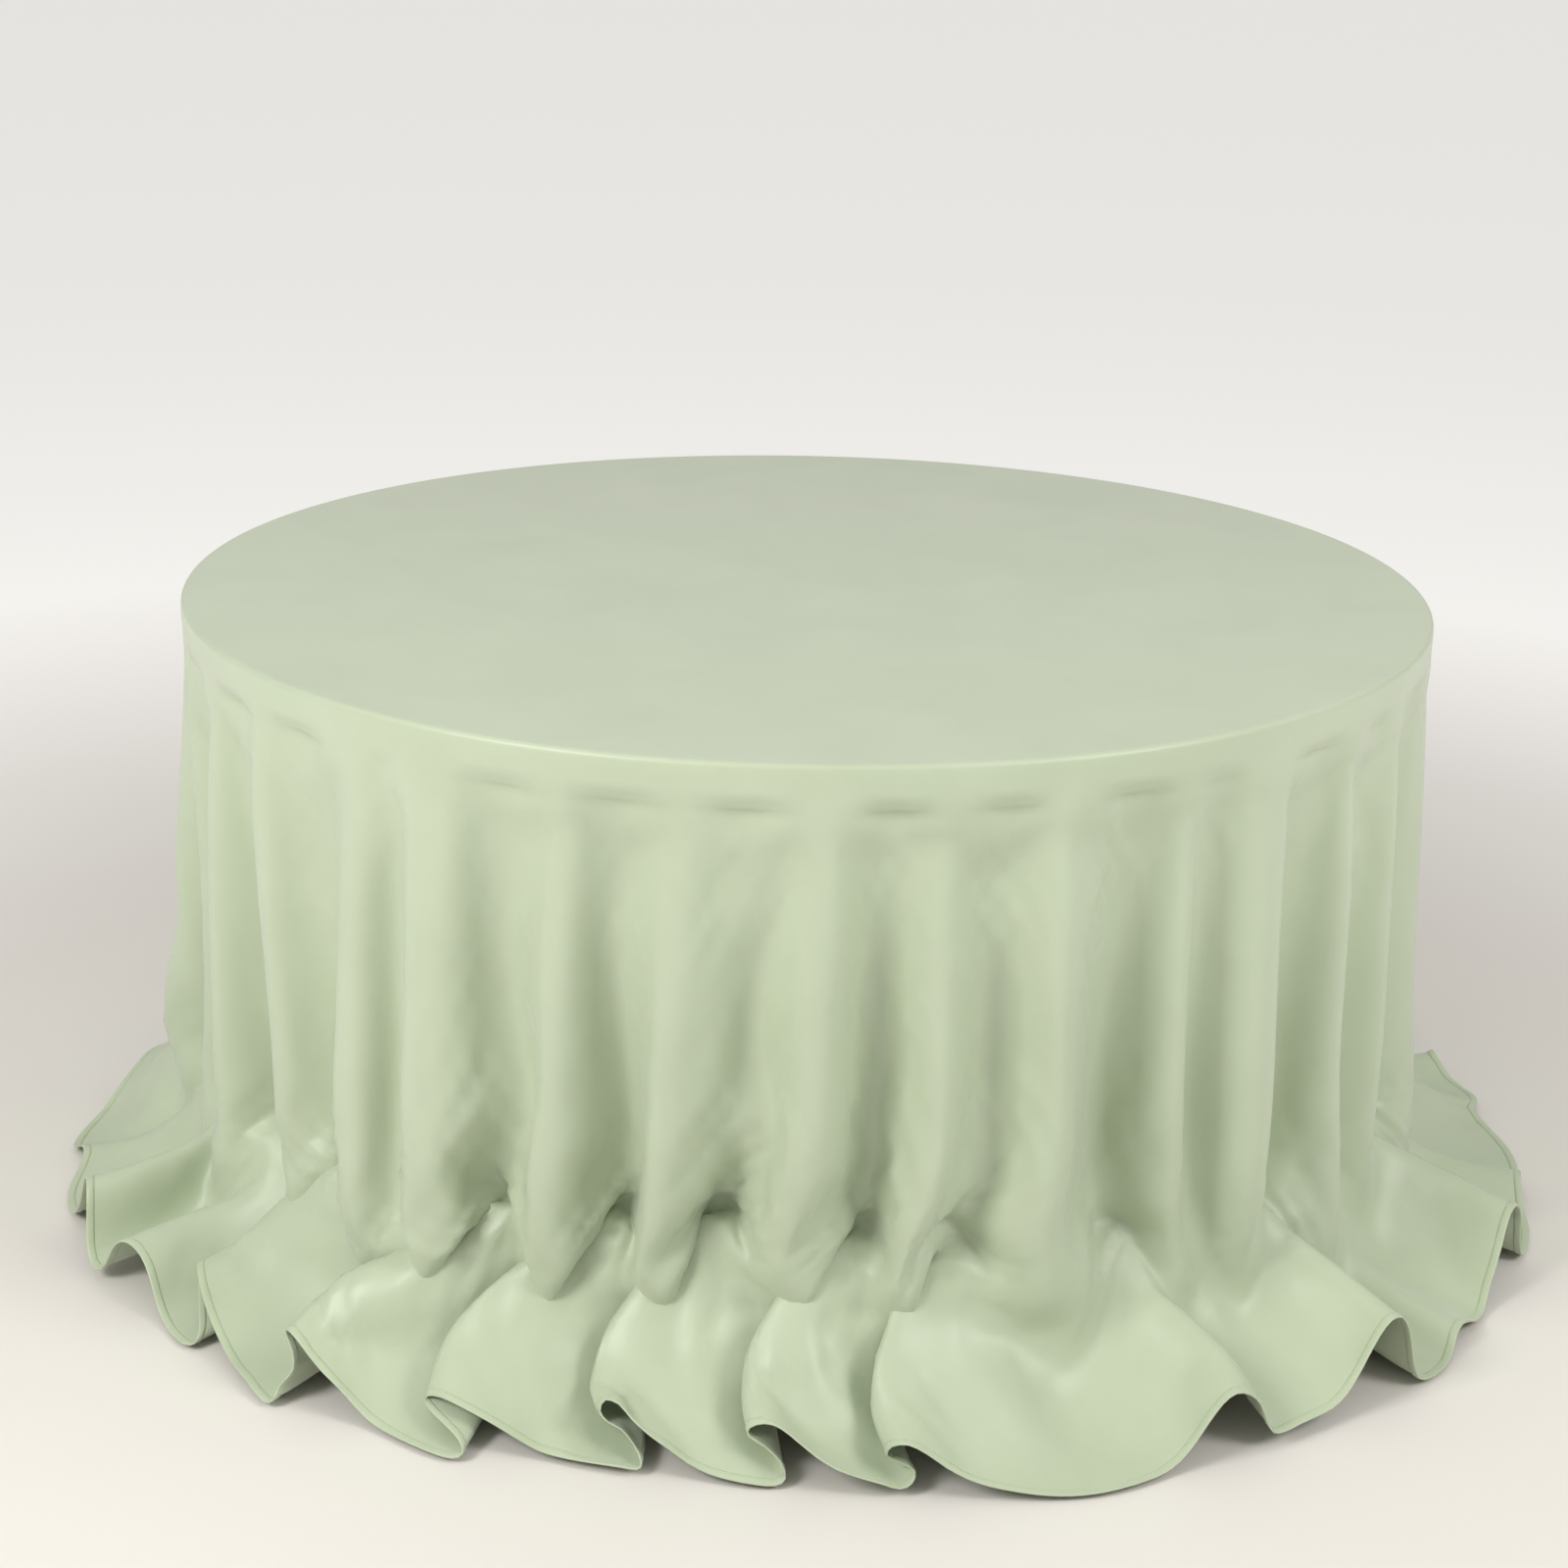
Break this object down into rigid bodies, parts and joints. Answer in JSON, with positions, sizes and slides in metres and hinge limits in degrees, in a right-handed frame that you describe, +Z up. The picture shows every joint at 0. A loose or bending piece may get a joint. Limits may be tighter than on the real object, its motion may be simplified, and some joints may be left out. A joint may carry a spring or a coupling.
{
  "type": "round table with floor-length tablecloth",
  "caption": "Round folding table under a seamless floor-length cloth that falls in soft folds and pools on the floor.",
  "frame": {"origin": "on the floor under the centre of the round top", "axes": "+Z up, +X to the right and +Y away from someone facing leg frame A; the leg pivots run along X"},
  "size_m": [1.846, 1.846, 0.7645],
  "materials": {
    "plywood": "satin",
    "hardwood": "satin",
    "block_wood": "raw",
    "edge_band": "matte",
    "zinc_plate": "satin",
    "screw_steel": "satin",
    "frame_paint": "textured",
    "foot_rubber": "matte",
    "plug_plastic": "matte",
    "cloth_fabric": "satin",
    "hem_fabric": "satin",
    "thread": "satin",
    "label_tape": "satin"
  },
  "bodies": {
    "table": {"plywood_top": "plywood", "rim_segments": "hardwood", "edge_band": "edge_band", "pivot_brackets_a": "zinc_plate", "pivot_brackets_b": "zinc_plate", "riser_blocks": "block_wood", "bracket_screws_a": "screw_steel", "bracket_screws_b": "screw_steel", "catch_screws": "screw_steel", "stay_catch_a": "zinc_plate", "stay_catch_b": "zinc_plate"},
    "leg_frame_a": {"pivot_tube_a": "frame_paint", "leg_a_left": "frame_paint", "leg_a_right": "frame_paint", "crossbar_a": "frame_paint", "foot_caps_a": "foot_rubber", "tube_plugs_a": "plug_plastic"},
    "leg_frame_b": {"pivot_tube_b": "frame_paint", "leg_b_left": "frame_paint", "leg_b_right": "frame_paint", "crossbar_b": "frame_paint", "foot_caps_b": "foot_rubber", "tube_plugs_b": "plug_plastic"},
    "stay_link_a": {"stay_a": "zinc_plate", "stay_pin_a": "screw_steel"},
    "stay_link_b": {"stay_b": "zinc_plate", "stay_pin_b": "screw_steel"},
    "cloth": {"tablecloth": "cloth_fabric", "hem": "hem_fabric", "hem_stitching": "thread", "care_label": "label_tape"}
  },
  "joints": [
    {"name": "leg_a_fold", "type": "hinge", "parent": "table", "child": "leg_frame_a", "pos_m": [0, -0.4, 0.705], "axis": [1, 0, 0], "range_deg": [0, 95]},
    {"name": "leg_b_fold", "type": "hinge", "parent": "table", "child": "leg_frame_b", "pos_m": [0, 0.4, 0.671], "axis": [-1, 0, 0], "range_deg": [0, 95]},
    {"name": "stay_a_swing", "type": "hinge", "parent": "leg_frame_a", "child": "stay_link_a", "pos_m": [-0.06, -0.4244, 0.42607], "axis": [1, 0, 0], "range_deg": [-132.6, 0]},
    {"name": "stay_b_swing", "type": "hinge", "parent": "leg_frame_b", "child": "stay_link_b", "pos_m": [0.06, 0.4244, 0.39206], "axis": [-1, 0, 0], "range_deg": [-132.6, 0]},
    {"name": "cloth_lift", "type": "slide", "parent": "table", "child": "cloth", "axis": [0, 0, 1], "range_m": [0, 0.8]}
  ],
  "couplings": [
    {"joint": "stay_a_swing", "follows": "leg_a_fold", "ratio": -1.394},
    {"joint": "stay_b_swing", "follows": "leg_b_fold", "ratio": -1.394}
  ]
}
